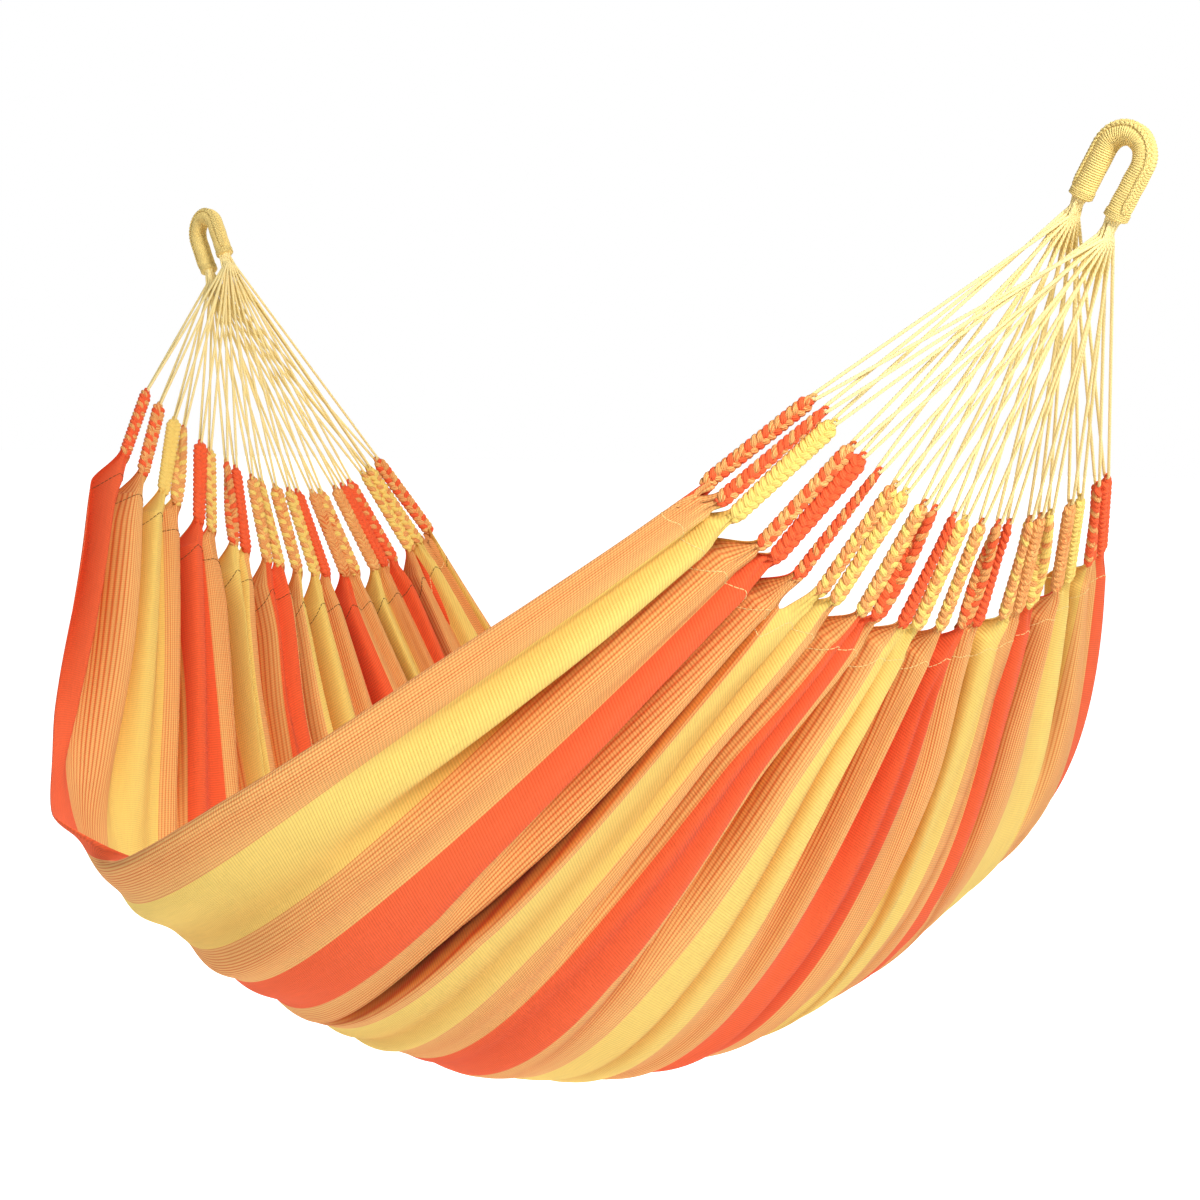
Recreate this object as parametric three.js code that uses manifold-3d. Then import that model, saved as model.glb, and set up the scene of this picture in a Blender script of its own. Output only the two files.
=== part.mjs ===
// A striped cotton hammock hanging open between two hooks.
//
// Millimetres, +Z up. The origin is the seat of the left eye on its hook, and +X runs
// level to the seat of the right eye. The cloth bed hangs below that line. Each end of
// the cloth is gathered into flat braids, each braid hangs on one loop of the clew cord,
// and both strands of every loop gather into the legs of a whipped, horseshoe-shaped eye.
import * as THREE from 'three';
import { mergeVertices } from 'three/addons/utils/BufferGeometryUtils.js';
import Module from 'manifold-3d';

const wasm = await Module();
wasm.setup();

// ---- Driving dimensions ----

const CLEW_REACH = 550;          // hook seat to the edge of the cloth, along the slope
const HANG_ANGLE = THREE.MathUtils.degToRad(60);  // slope of the cords below level
const CLOTH_ARC = 1620;          // length of the base curve of the cloth
const SAG_SHAPE = 1.8;           // 0 is a circular sag, 1 a catenary, above 1 more pointed

const FRONT_EDGE_ANGLE = THREE.MathUtils.degToRad(-43);  // front edge, about the hook line
const BACK_EDGE_ANGLE = THREE.MathUtils.degToRad(33);
const SIDE_LIFT = 0.18;          // how much higher the sides ride than on a circle
const MID_SPREAD = 0.23;         // extra width at the middle
const RIGHT_SPREAD = 0.69;       // the right half stands open wider than the left half
const MID_SHIFT = 97;            // sideways shift that puts the weight under the hook line
const MID_DROP = 0.205;          // extra depth at the middle
const BACK_DROP = 0.12;          // the back side hangs lower than the front side
const SIDE_DROP = -0.095;
const LEFT_DROP = 0.09;          // the left half sags deeper than the right half
const FRONT_SKEW = 130;          // the front edge swings out on the left and in on the right
const FRONT_FLARE = 320;         // and flares out further on the left

const CLOTH_THICKNESS = 3;
const CLOTH_WIDTH = 1680;        // cut width, which the flutes take up near the ends
const CLOTH_STEPS = 26;          // grid steps along the warp
const SCALLOP_DEPTH = 28;        // how far the edge is cut back between two braids

const BRAID_COUNT = 22;          // at each end
const BRAID_LENGTH = 135;
const BRAID_WIDTH = 19;
const BRAID_THICKNESS = 9;
const ROOT_GAP = 2;              // clearance between the cloth and a braid
const TIP_GAP = 4;               // clearance from a braid to the middle of its cord loop's turn
const LOOP_HALF_WIDTH = 2.8;     // half the distance between the strands at the turn
const LOOP_TURN_LENGTH = 5;

const HEM_INSET = 45;            // hem stitching, back from the cloth edge
const HEM_WIDTH = 3;
const HEM_GAP = 0.8;
const HEM_THICKNESS = 1.2;

const CORD_RADIUS = 2;
const PINCHED_RADIUS = 1.15;     // where the strands are pressed together under the eye
const CORD_SIDES = 8;

const EYE_RADIUS = 25;           // bend of the eye, to the middle of the whipped bundle
const EYE_LEG = 58;              // straight leg below the bend
const WHIPPING_RADIUS = 13;
const WHIPPING_BORE = 9.2;
const CORE_RADIUS = 8;
const EYE_SIDES = 12;
const EYE_STEPS = 15;            // odd, so that one flat facet lies across the crown
const CROWN_TURN = (Math.PI * EYE_RADIUS + 2 * EYE_LEG) / EYE_STEPS / EYE_RADIUS;
const EYE_INSIDE = EYE_RADIUS - WHIPPING_RADIUS * Math.cos(Math.PI / EYE_SIDES);
const EYE_CENTRE = EYE_INSIDE * Math.cos(CROWN_TURN / 2);  // hook seat to centre of bend
const BINDING_BORE = 13.6;
const BINDING_RADIUS = 15.8;
const BINDING_LENGTH = 9;
const RIDGE_RADIUS = 2.3;
const RIDGE_SWEEP = THREE.MathUtils.degToRad(200);
const SWING_GAP = 7;             // lets the cords swing below the ends of the eye's legs
const GATHER_RADIUS = 11.5;      // bundle of strands under one leg
const GATHER_LENGTH = 16;
const GATHER_SPREAD = 9;         // half the width over which the strands leave a bundle
const GATHER_ROWS = 3;
const GATHER_ROW_SPACING = 4.8;

const COLOURS = { red: 0xff5f43, orange: 0xf59a55, yellow: 0xf6d577, cord: 0xf3dd9a, thread: 0xd9b26a };
const CLOTH_FINISH = { roughness: 0.9, metalness: 0 };

// ---- Shape of the hanging cloth ----

// Slope of a warp line at s, which runs from -1 at the left edge to 1 at the right edge.
function slopeAt(s) {
  const catenary = Math.atan(s * Math.tan(HANG_ANGLE));
  return (1 - SAG_SHAPE) * HANG_ANGLE * s + SAG_SHAPE * catenary;
}

// Level run and drop from the lowest point to s, by the midpoint rule.
function sagTo(s) {
  const steps = 60;
  const length = s * CLOTH_ARC / 2 / steps;
  let run = 0;
  let rise = 0;
  for (let i = 0; i < steps; i += 1) {
    const slope = slopeAt(s * (i + 0.5) / steps);
    run += Math.cos(slope) * length;
    rise += Math.sin(slope) * length;
  }
  return { run, rise };
}

const halfSag = sagTo(1);
const HALF_SPAN = CLEW_REACH * Math.cos(HANG_ANGLE) + halfSag.run;
const SPAN = 2 * HALF_SPAN;
const DEPTH = CLEW_REACH * Math.sin(HANG_ANGLE) + halfSag.rise;

// Point of the smooth bed: s along the warp, v from 0 at the front edge to 1 at the back.
function bedPoint(s, v) {
  const angle = THREE.MathUtils.lerp(FRONT_EDGE_ANGLE, BACK_EDGE_ANGLE, v);
  const side = Math.sin(angle);
  const sag = sagTo(s);
  const radius = DEPTH - sag.rise;
  const across = sag.run / HALF_SPAN;
  const middle = 1 - across * across;
  const spread = (1 + RIGHT_SPREAD * across * middle) * (1 + MID_SPREAD * middle);
  const lift = 1 - (1 + SIDE_LIFT) * (1 - Math.cos(angle));
  const depth = MID_DROP + BACK_DROP * side + SIDE_DROP * side * side - LEFT_DROP * across;
  const leftward = Math.max(0, -across);
  const flare = (1 - v) * (1 - v) * (FRONT_SKEW * across - FRONT_FLARE * leftward * leftward);
  return new THREE.Vector3(
    HALF_SPAN + sag.run,
    radius * side * spread + middle * (MID_SHIFT + flare),
    -radius * lift * (1 + middle * depth),
  );
}

// Outward normal of the smooth bed.
function bedNormal(s, v) {
  const e = 0.004;
  const along = bedPoint(s + e, v).sub(bedPoint(s - e, v));
  const across = bedPoint(s, v + e).sub(bedPoint(s, v - e));
  return across.cross(along).normalize();
}

// Height of the flutes: the cloth is wider than the space it hangs in, so each braid's
// share of the width folds into a pleat of just that length.
function fluteHeight(s, v) {
  const share = CLOTH_WIDTH / BRAID_COUNT;
  const step = 0.5 / BRAID_COUNT;
  const space = bedPoint(s, v + step).distanceTo(bedPoint(s, v - step));
  return Math.sqrt(Math.max(share * share - space * space, 0)) / 4;
}

// Crests lie at the braids and valleys midway between two braids.
function fluteAt(s, v) {
  return fluteHeight(s, v) * -Math.cos(2 * Math.PI * BRAID_COUNT * v);
}

// Where the cloth ends at v: full length at a braid, cut back between two braids.
function clothEnd(v) {
  const cut = SCALLOP_DEPTH / (CLOTH_ARC / 2);
  return 1 - cut * 0.5 * (1 + Math.cos(2 * Math.PI * BRAID_COUNT * v));
}

function clothPoint(s, v, offset) {
  const normal = bedNormal(s, v);
  return bedPoint(s, v).addScaledVector(normal, fluteAt(s, v) + offset);
}

// ---- Solids ----

// Closed solid between two offsets of the cloth, over a grid of (s, v) given by place(i, j).
function sheetSolid(columns, rows, inner, outer, place) {
  const positions = [];
  const index = [];
  const stride = rows + 1;
  const layer = (columns + 1) * stride;
  for (const offset of [inner, outer]) {
    for (let i = 0; i <= columns; i += 1) {
      for (let j = 0; j <= rows; j += 1) {
        const { s, v } = place(i / columns, j / rows);
        positions.push(...clothPoint(s, v, offset).toArray());
      }
    }
  }
  const quad = (a, b, c, d) => index.push(a, b, c, a, c, d);
  for (let i = 0; i < columns; i += 1) {
    for (let j = 0; j < rows; j += 1) {
      const a = i * stride + j;
      const b = a + stride;
      quad(a, b, b + 1, a + 1);
      quad(layer + a, layer + a + 1, layer + b + 1, layer + b);
    }
  }
  const rim = [];
  for (let i = 0; i < columns; i += 1) rim.push(i * stride);
  for (let j = 0; j < rows; j += 1) rim.push(columns * stride + j);
  for (let i = columns; i > 0; i -= 1) rim.push(i * stride + rows);
  for (let j = rows; j > 0; j -= 1) rim.push(j);
  rim.forEach((a, k) => {
    const b = rim[(k + 1) % rim.length];
    quad(a, a + layer, b + layer, b);
  });
  const geometry = new THREE.BufferGeometry();
  geometry.setAttribute('position', new THREE.Float32BufferAttribute(positions, 3));
  geometry.setIndex(index);
  return geometry;
}

function ringShape(radius, sides) {
  const points = [];
  for (let k = 0; k < sides; k += 1) {
    const angle = 2 * Math.PI * (k + 0.5) / sides;
    points.push(new THREE.Vector2(radius * Math.cos(angle), radius * Math.sin(angle)));
  }
  return new THREE.Shape(points);
}

function sweep(shape, path, steps) {
  return new THREE.ExtrudeGeometry(shape, { extrudePath: path, steps, bevelEnabled: false });
}

function toManifold(geometry) {
  const bare = geometry.clone();
  bare.deleteAttribute('normal');
  bare.deleteAttribute('uv');
  const merged = mergeVertices(bare, 1e-3);
  return new wasm.Manifold(new wasm.Mesh({
    numProp: 3,
    vertProperties: Float32Array.from(merged.attributes.position.array),
    triVerts: Uint32Array.from(merged.index.array),
  }));
}

function fromManifold(solid) {
  const mesh = solid.getMesh();
  const geometry = new THREE.BufferGeometry();
  geometry.setAttribute('position', new THREE.BufferAttribute(mesh.vertProperties, 3));
  geometry.setIndex(new THREE.BufferAttribute(mesh.triVerts, 1));
  return geometry;
}

function union(geometries) {
  const solids = geometries.map(toManifold);
  return fromManifold(solids.reduce((whole, next) => whole.add(next)));
}

// ---- One end of the hammock ----

// An end has its hook seat, the direction in which its cords leave the hook, and the
// sideways direction in the plane of its eye.
function hammockEnd(name, edge) {
  const seat = new THREE.Vector3(edge < 0 ? 0 : SPAN, 0, 0);
  const down = new THREE.Vector3(-edge * Math.cos(HANG_ANGLE), 0, -Math.sin(HANG_ANGLE));
  const aside = new THREE.Vector3(-edge * Math.sin(HANG_ANGLE), 0, Math.cos(HANG_ANGLE));
  return { name, edge, seat, down, aside };
}

// The horseshoe, from the end of one leg round the bend to the end of the other.
class EyePath extends THREE.Curve {
  constructor(end, leg) {
    super();
    this.end = end;
    this.leg = leg;
  }

  getPoint(t) {
    const bend = Math.PI * EYE_RADIUS;
    const length = t * (bend + 2 * this.leg) - this.leg;
    const turn = THREE.MathUtils.clamp(length / EYE_RADIUS, 0, Math.PI);
    const straight = length < 0 ? -length : Math.max(length - bend, 0);
    return this.end.seat.clone()
      .addScaledVector(this.end.down, EYE_CENTRE - EYE_RADIUS * Math.sin(turn) + straight)
      .addScaledVector(this.end.aside, EYE_RADIUS * Math.cos(turn));
  }
}

// The raised row of stitches around the outside of the bend.
class RidgePath extends THREE.Curve {
  constructor(end) {
    super();
    this.end = end;
  }

  getPoint(t) {
    const radius = EYE_RADIUS + WHIPPING_RADIUS + RIDGE_RADIUS + 0.8;
    const turn = (t - 0.5) * RIDGE_SWEEP;
    return this.end.seat.clone()
      .addScaledVector(this.end.down, EYE_CENTRE - radius * Math.cos(turn))
      .addScaledVector(this.end.aside, radius * Math.sin(turn));
  }
}

// Centre of the end face of one leg, which is the upper (1) or the lower (-1) one.
function legEnd(end, leg) {
  return end.seat.clone()
    .addScaledVector(end.down, EYE_CENTRE + EYE_LEG)
    .addScaledVector(end.aside, leg * EYE_RADIUS);
}

function eyeCore(end) {
  return sweep(ringShape(CORE_RADIUS, CORD_SIDES), new EyePath(end, EYE_LEG), EYE_STEPS);
}

function eyeWhipping(end) {
  const outer = sweep(ringShape(WHIPPING_RADIUS, EYE_SIDES), new EyePath(end, EYE_LEG), EYE_STEPS);
  const bore = sweep(ringShape(WHIPPING_BORE, CORD_SIDES), new EyePath(end, EYE_LEG + 5), EYE_STEPS);
  return fromManifold(toManifold(outer).subtract(toManifold(bore)));
}

function eyeRidge(end) {
  return sweep(ringShape(RIDGE_RADIUS, CORD_SIDES), new RidgePath(end), 14);
}

// A ring of binding cord around a leg, close to its end.
function eyeBinding(end, leg) {
  const half = BINDING_LENGTH / 2;
  const profile = [
    new THREE.Vector2(BINDING_BORE, -half),
    new THREE.Vector2(BINDING_RADIUS, -half),
    new THREE.Vector2(BINDING_RADIUS, half),
    new THREE.Vector2(BINDING_BORE, half),
    new THREE.Vector2(BINDING_BORE, -half),
  ];
  const geometry = new THREE.LatheGeometry(profile, 16);
  const centre = legEnd(end, leg).addScaledVector(end.down, -half - 1);
  const turn = new THREE.Quaternion().setFromUnitVectors(new THREE.Vector3(0, 1, 0), end.down);
  geometry.applyQuaternion(turn);
  geometry.translate(...centre.toArray());
  return geometry;
}

// Where braid i starts at the cloth, and the direction in which it runs to the hook.
function braidRoot(end, i) {
  const v = (i + 0.5) / BRAID_COUNT;
  const root = clothPoint(end.edge, v, CLOTH_THICKNESS / 2);
  const toHook = end.seat.clone().sub(root).normalize();
  return { root, toHook };
}

// Moves a geometry from the origin to a distance along braid i, with its Y axis along the
// braid and its X axis along the edge of the cloth.
function placeOnBraid(geometry, end, i, distance) {
  const { root, toHook } = braidRoot(end, i);
  const v = (i + 0.5) / BRAID_COUNT;
  const broad = bedPoint(end.edge, v + 0.01).sub(bedPoint(end.edge, v - 0.01));
  broad.addScaledVector(toHook, -broad.dot(toHook)).normalize();
  const place = new THREE.Matrix4().makeBasis(broad, toHook, broad.clone().cross(toHook));
  geometry.applyMatrix4(place.setPosition(root.addScaledVector(toHook, distance)));
  return geometry;
}

// A flat braid, a little thinner at its tip, with its broad side along the edge of the cloth.
function braidSolid(end, i) {
  const geometry = new THREE.CylinderGeometry(0.4, 0.5, BRAID_LENGTH, CORD_SIDES);
  geometry.scale(BRAID_WIDTH, 1, BRAID_THICKNESS);
  return placeOnBraid(geometry, end, i, ROOT_GAP + BRAID_LENGTH / 2);
}

// The turn of a cord loop at the tip of its braid, which joins its two strands.
function loopTurn(end, i) {
  const geometry = new THREE.BoxGeometry(5, LOOP_TURN_LENGTH, 2 * LOOP_HALF_WIDTH + 5);
  return placeOnBraid(geometry, end, i, ROOT_GAP + BRAID_LENGTH + TIP_GAP);
}

// One straight strand of taut cord.
function strand(start, tip) {
  const along = tip.clone().sub(start);
  const geometry = new THREE.CylinderGeometry(CORD_RADIUS, PINCHED_RADIUS, along.length(), CORD_SIDES);
  const upright = new THREE.Vector3(0, 1, 0);
  const middle = start.clone().add(tip).multiplyScalar(0.5);
  geometry.applyQuaternion(new THREE.Quaternion().setFromUnitVectors(upright, along.normalize()));
  geometry.translate(...middle.toArray());
  return geometry;
}

// The strands of the clew cord: two to each braid, one from each leg of the eye.
function clewSolid(end) {
  const parts = [];
  for (let i = 0; i < BRAID_COUNT; i += 1) parts.push(loopTurn(end, i));
  for (const leg of [1, -1]) {
    const top = legEnd(end, leg).addScaledVector(end.down, SWING_GAP);
    const bottom = top.clone().addScaledVector(end.down, GATHER_LENGTH);
    parts.push(sweep(ringShape(GATHER_RADIUS, EYE_SIDES), new THREE.LineCurve3(top, bottom), 1));
    for (let i = 0; i < BRAID_COUNT; i += 1) {
      const { root, toHook } = braidRoot(end, i);
      const sideways = end.aside.clone().addScaledVector(toHook, -end.aside.dot(toHook)).normalize();
      const tip = root
        .addScaledVector(toHook, ROOT_GAP + BRAID_LENGTH + TIP_GAP)
        .addScaledVector(sideways, leg * LOOP_HALF_WIDTH);
      const row = i % GATHER_ROWS - (GATHER_ROWS - 1) / 2;
      const start = bottom.clone()
        .addScaledVector(end.down, -2)
        .addScaledVector(end.aside, row * GATHER_ROW_SPACING);
      start.y += GATHER_SPREAD * (2 * i / (BRAID_COUNT - 1) - 1);
      parts.push(strand(start, tip));
    }
  }
  return union(parts);
}

// Grid rows of the cloth: the edge, both sides of the hem stitching, then even steps.
function clothRow(row, v) {
  const fromEdge = Math.min(row, CLOTH_STEPS - row);
  const side = row < CLOTH_STEPS / 2 ? -1 : 1;
  const half = CLOTH_ARC / 2;
  const hemOuter = clothEnd(v) - (HEM_INSET - HEM_WIDTH / 2) / half;
  const hemInner = clothEnd(v) - (HEM_INSET + HEM_WIDTH / 2) / half;
  if (fromEdge === 0) return side * clothEnd(v);
  if (fromEdge === 1) return side * hemOuter;
  return side * hemInner * (1 - (fromEdge - 2) / (CLOTH_STEPS / 2 - 2));
}

function clothSolid() {
  const place = (a, b) => ({ s: clothRow(Math.round(a * CLOTH_STEPS), b), v: b });
  return sheetSolid(CLOTH_STEPS, 2 * BRAID_COUNT, -CLOTH_THICKNESS / 2, CLOTH_THICKNESS / 2, place);
}

// The line of stitches that lies on the outside of the cloth along its scalloped end.
function hemSolid(end) {
  const firstRow = end.edge < 0 ? 1 : CLOTH_STEPS - 2;
  const place = (a, b) => ({ s: clothRow(firstRow + a, b), v: b });
  const inner = CLOTH_THICKNESS / 2 + HEM_GAP;
  return sheetSolid(1, 2 * BRAID_COUNT, inner, inner + HEM_THICKNESS, place);
}

// ---- Assembly ----

// Colour of each braid from the front edge to the back edge, as its stripe of cloth has.
const BRAID_COLOURS = [
  'red', 'yellow', 'orange', 'red', 'orange', 'yellow', 'orange', 'orange', 'red', 'orange', 'yellow',
  'orange', 'orange', 'red', 'orange', 'yellow', 'orange', 'red', 'orange', 'yellow', 'orange', 'red',
];

const hammock = new THREE.Group();

function addMesh(name, geometry, colour) {
  const material = new THREE.MeshStandardMaterial({ color: COLOURS[colour], ...CLOTH_FINISH });
  const mesh = new THREE.Mesh(geometry, material);
  mesh.name = name;
  hammock.add(mesh);
}

addMesh('bed_cloth', clothSolid(), 'orange');
for (const end of [hammockEnd('left', -1), hammockEnd('right', 1)]) {
  addMesh(`eye_core_${end.name}`, eyeCore(end), 'cord');
  addMesh(`eye_whipping_${end.name}`, eyeWhipping(end), 'yellow');
  addMesh(`eye_ridge_${end.name}`, eyeRidge(end), 'yellow');
  addMesh(`eye_binding_${end.name}_upper`, eyeBinding(end, 1), 'yellow');
  addMesh(`eye_binding_${end.name}_lower`, eyeBinding(end, -1), 'yellow');
  addMesh(`clew_cords_${end.name}`, clewSolid(end), 'cord');
  addMesh(`hem_stitch_${end.name}`, hemSolid(end), 'thread');
  BRAID_COLOURS.forEach((colour, i) => {
    const number = String(i + 1).padStart(2, '0');
    addMesh(`braid_${end.name}_${number}`, braidSolid(end, i), colour);
  });
}

export default hammock;
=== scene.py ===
"""Looks of a striped cotton hammock that hangs open between two hooks.

Metres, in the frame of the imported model: the left eye's seat on its hook is the origin,
+X runs level to the right eye's seat, and +Z is up.
"""

import math

import bpy
import numpy as np
from mathutils import Euler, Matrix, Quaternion


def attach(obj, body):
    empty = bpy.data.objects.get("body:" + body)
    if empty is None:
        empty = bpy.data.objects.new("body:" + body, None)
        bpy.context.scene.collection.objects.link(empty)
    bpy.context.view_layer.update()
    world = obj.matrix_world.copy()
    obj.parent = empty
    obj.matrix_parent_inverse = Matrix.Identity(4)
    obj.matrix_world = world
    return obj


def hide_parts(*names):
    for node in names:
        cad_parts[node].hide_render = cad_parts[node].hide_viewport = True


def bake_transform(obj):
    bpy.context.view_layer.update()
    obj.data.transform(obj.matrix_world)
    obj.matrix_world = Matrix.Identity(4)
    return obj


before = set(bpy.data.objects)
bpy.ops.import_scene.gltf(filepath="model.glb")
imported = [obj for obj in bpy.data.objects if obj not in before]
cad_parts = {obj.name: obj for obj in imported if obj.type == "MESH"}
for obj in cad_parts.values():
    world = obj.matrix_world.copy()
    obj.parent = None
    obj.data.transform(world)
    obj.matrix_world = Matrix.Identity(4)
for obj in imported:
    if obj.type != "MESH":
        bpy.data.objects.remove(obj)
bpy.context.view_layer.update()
RNG = np.random.default_rng(22)

# ---- Dimensions that the CAD model has too ----

HANG_ANGLE = math.radians(60)
CLEW_REACH = 0.55
CLOTH_ARC = 1.62
SAG_SHAPE = 1.8
FRONT_EDGE_ANGLE = math.radians(-43)
BACK_EDGE_ANGLE = math.radians(33)
SIDE_LIFT = 0.18
MID_SPREAD = 0.23
RIGHT_SPREAD = 0.69
MID_SHIFT = 0.097
MID_DROP = 0.205
BACK_DROP = 0.12
SIDE_DROP = -0.095
LEFT_DROP = 0.09
FRONT_SKEW = 0.130
FRONT_FLARE = 0.320
CLOTH_WIDTH = 1.68
SCALLOP_DEPTH = 0.028
HEM_INSET = 0.045
BRAID_COUNT = 22
BRAID_LENGTH = 0.135
ROOT_LIFT = 0.0015
ROOT_GAP = 0.002
TIP_GAP = 0.004
EYE_RADIUS = 0.025
EYE_LEG = 0.058
WHIPPING_RADIUS = 0.013
EYE_CENTRE = 0.01202
GATHER_DROP = 0.021
GATHER_SPREAD = 0.009
GATHER_ROW_SPACING = 0.0048

# ---- Dimensions of the soft detail ----

CLOTH_THICKNESS = 0.0014
COLUMNS = 20  # grid columns in each braid's share of the width
FLUTE_REST = 0.0022  # fluting left where the cloth is spread full width
SLIT_STEP = 0.0025  # grid rows at the slits between the braids
SLIT_ROWS = 22
ROW_STEP = 0.0065
NECK_HALF_WIDTH = 0.0095
CORNER_TAPER = 0.06
LIPPED_DEPTH = 0.020  # creases deeper than this have a low lip in front and a high one behind
LIP_HEIGHT = 0.0065
LIP_EDGE = 0.003  # half width of the step between the two lips
LIP_REACH = 0.04  # how far across the cloth the lips die away
DARK_DEPTH = 0.012  # depth at which a crease gets as much painted shade as a deep valley
FILLED_VALLEY = 0.12  # depth left to the valley that the deepest crease replaces
RIPPLE_COUNT = 14
RIPPLE_HEIGHT = 0.0009
BELLY = 0.035  # soft bulge of the front below the left end
BELLY_ALONG = (-0.28, 0.30)  # its middle and half width along the bed
BELLY_ACROSS = (0.10, 0.15)
PLEAT_DEPTH = 0.0026
PLEAT_REACH = 0.07
FRONT_FOLD = 0.079  # the front edge folds inwards along this line
BACK_FOLD = 0.124  # the back edge folds outwards along this line
FOLD_ARC = 0.018
FOLD_TURN = math.radians(155)
FOLD_TIGHTER = math.radians(20)  # added to the turn near the ends
FOLD_SHORTER = 0.45  # share taken off the arc there
FOLD_FURTHER = 0.35  # and how much further down the folded strip reaches
CORD_RADIUS = 0.0019
CORD_LAY = 0.016  # length in which the cord's three strands turn once
CORD_STEP = 0.0022  # distance between the rings of the cord's mesh
STRAND_SPACING = 0.0033  # between the cords inside the eye
LOOP_HALF_WIDTH = 0.0036
STRAND_RADIUS = 0.0043  # of a braid's strands, which swing this far across and through it:
STRAND_ACROSS = 0.0064
STRAND_THROUGH = 0.0024
TIP_LOOP_HALF_WIDTH = 0.0038  # of the loop of yarn at a braid's tip
SHALLOW_SCALLOP = 0.25  # depth of the hem's scallops inside a group of braids, as a share
WRAP_PITCH = 0.0026
WRAP_GROOVE = 0.0011
RIDGE_INSET = 0.010
RIDGE_TURN = math.radians(38)
STITCH_PITCH = 0.0065

# Width of each stripe, from the front edge to the back edge.
STRIPE_WIDTHS = {"edge": 0.054, "orange": 0.072, "yellow": 0.105, "red": 0.082}
STRIPES = (
    ["edge"]
    + ["orange", "yellow", "orange", "red"] * 4
    + ["orange", "yellow", "orange", "edge"]
)
# Colours of the three strands of each braid, from the front edge to the back edge.
BRAIDS = {
    "left": "RRO ORO YYY OYO RRR OYY OOR RRR OYO YOY OYO OYY RRR OOO YOO OOO RRR ROR YOY YYO ORO RRO",
    "right": "ORO RRO YYY OOR RRR ROR OYO YYO OOY ROR RRR YOY OOY ROO RRR OYO OOO YOY OOO YYY ROR RRR",
}
BRAID_KINDS = {"R": "red", "O": "orange", "Y": "yellow"}
# How many braids stand close together before each deep slit.
GROUPS = {
    "left": (1, 1, 2, 2, 2, 2, 1, 2, 2, 3, 2, 2),
    "right": (3, 2, 1, 2, 2, 2, 1, 2, 3, 2, 2),
}
GROUP_LEAN = 0.28  # how far braids of a group stand towards each other, as a share of a braid

# The cloth bunches to one side here: place across (0 to 1), shift and half width.
SLIDES = [(0.41, -0.027, 0.10), (0.655, 0.022, 0.045), (0.835, -0.018, 0.05)]
# The same for the left half only.
LEFT_SLIDES = [
    (0.040, -0.018, 0.022),
    (0.272, 0.020, 0.028),
    (0.334, -0.012, 0.022),
    (0.377, 0.014, 0.020),
]

# Long creases: place across (0 to 1), from and to along (-1 to 1), depth, half width.
CREASES = [
    (0.262, -0.02, 0.99, 0.0240, 0.0042),
    (0.306, -0.30, 0.95, 0.0050, 0.0240),
    (0.130, -0.40, 0.80, 0.0040, 0.0260),
    (0.402, -0.20, 0.95, 0.0045, 0.0230),
    (0.446, 0.10, 0.97, 0.0070, 0.0100),
    (0.505, -0.05, 0.97, 0.0080, 0.0090),
    (0.560, 0.20, 0.95, 0.0060, 0.0110),
    (0.612, -0.10, 0.97, 0.0090, 0.0130),
    (0.690, 0.05, 0.97, 0.0100, 0.0120),
    (0.752, 0.15, 0.95, 0.0060, 0.0120),
    (0.835, 0.10, 0.97, 0.0080, 0.0130),
    (0.180, -0.97, -0.35, 0.0080, 0.0120),
    (0.320, -0.97, -0.20, 0.0060, 0.0130),
    (0.590, -0.97, -0.30, 0.0070, 0.0120),
    (0.740, -0.97, -0.25, 0.0060, 0.0130),
]

# ---- Colours ----


def linear(red, green, blue):
    """A colour given in 0 to 255, as the shader's linear values."""

    def one(c):
        c /= 255
        return c / 12.92 if c <= 0.04045 else ((c + 0.055) / 1.055) ** 2.4

    return (one(red), one(green), one(blue), 1)


RED = linear(252, 104, 58)
ORANGE_PALE = linear(253, 200, 122)
ORANGE_DEEP = linear(224, 92, 34)
YELLOW = linear(253, 218, 118)
CORD = linear(250, 228, 160)
WHIPPING = linear(248, 220, 138)
THREAD = linear(250, 222, 150)
BOBBIN = linear(120, 78, 40)
PAINTED_VALLEY_SHADE = (0.70, 0.33, 0.15, 1)  # painted shade: the warm dark of light that has bounced between two walls of cloth
# Painted shade at the bottom of the deepest crease, near black.
PAINTED_CREASE_SHADE = (0.16, 0.08, 0.06, 1)
WHITE = (1, 1, 1, 1)


# ---- Camera and light ----

FLOOR_HEIGHT = -1.62
FLOOR_RADIUS = 60
BED_MIDDLE = (0.85, 0.0, -0.8)  # the lights point here


def make_camera():
    data = bpy.data.cameras.new("camera")
    data.sensor_width = 36
    data.lens = 62.3
    camera = bpy.data.objects.new("camera", data)
    camera.location = (2.847, -1.916, -0.294)
    level = Euler((math.radians(90 - 4.96), 0, math.radians(45.18)))
    roll = Quaternion((0, 0, 1), math.radians(1.39))
    camera.rotation_euler = (level.to_quaternion() @ roll).to_euler()
    bpy.context.scene.collection.objects.link(camera)
    bpy.context.scene.camera = camera


def make_area(name, place, size, power):
    data = bpy.data.lights.new(name, "AREA")
    data.shape = "DISK"
    data.size = size
    data.energy = power
    light = bpy.data.objects.new(name, data)
    light.location = place
    way = np.array(BED_MIDDLE) - np.array(place)
    light.rotation_euler = (
        math.atan2(math.hypot(way[0], way[1]), -way[2]),
        0,
        math.atan2(way[0], -way[1]) + math.pi,
    )
    bpy.context.scene.collection.objects.link(light)


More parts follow.
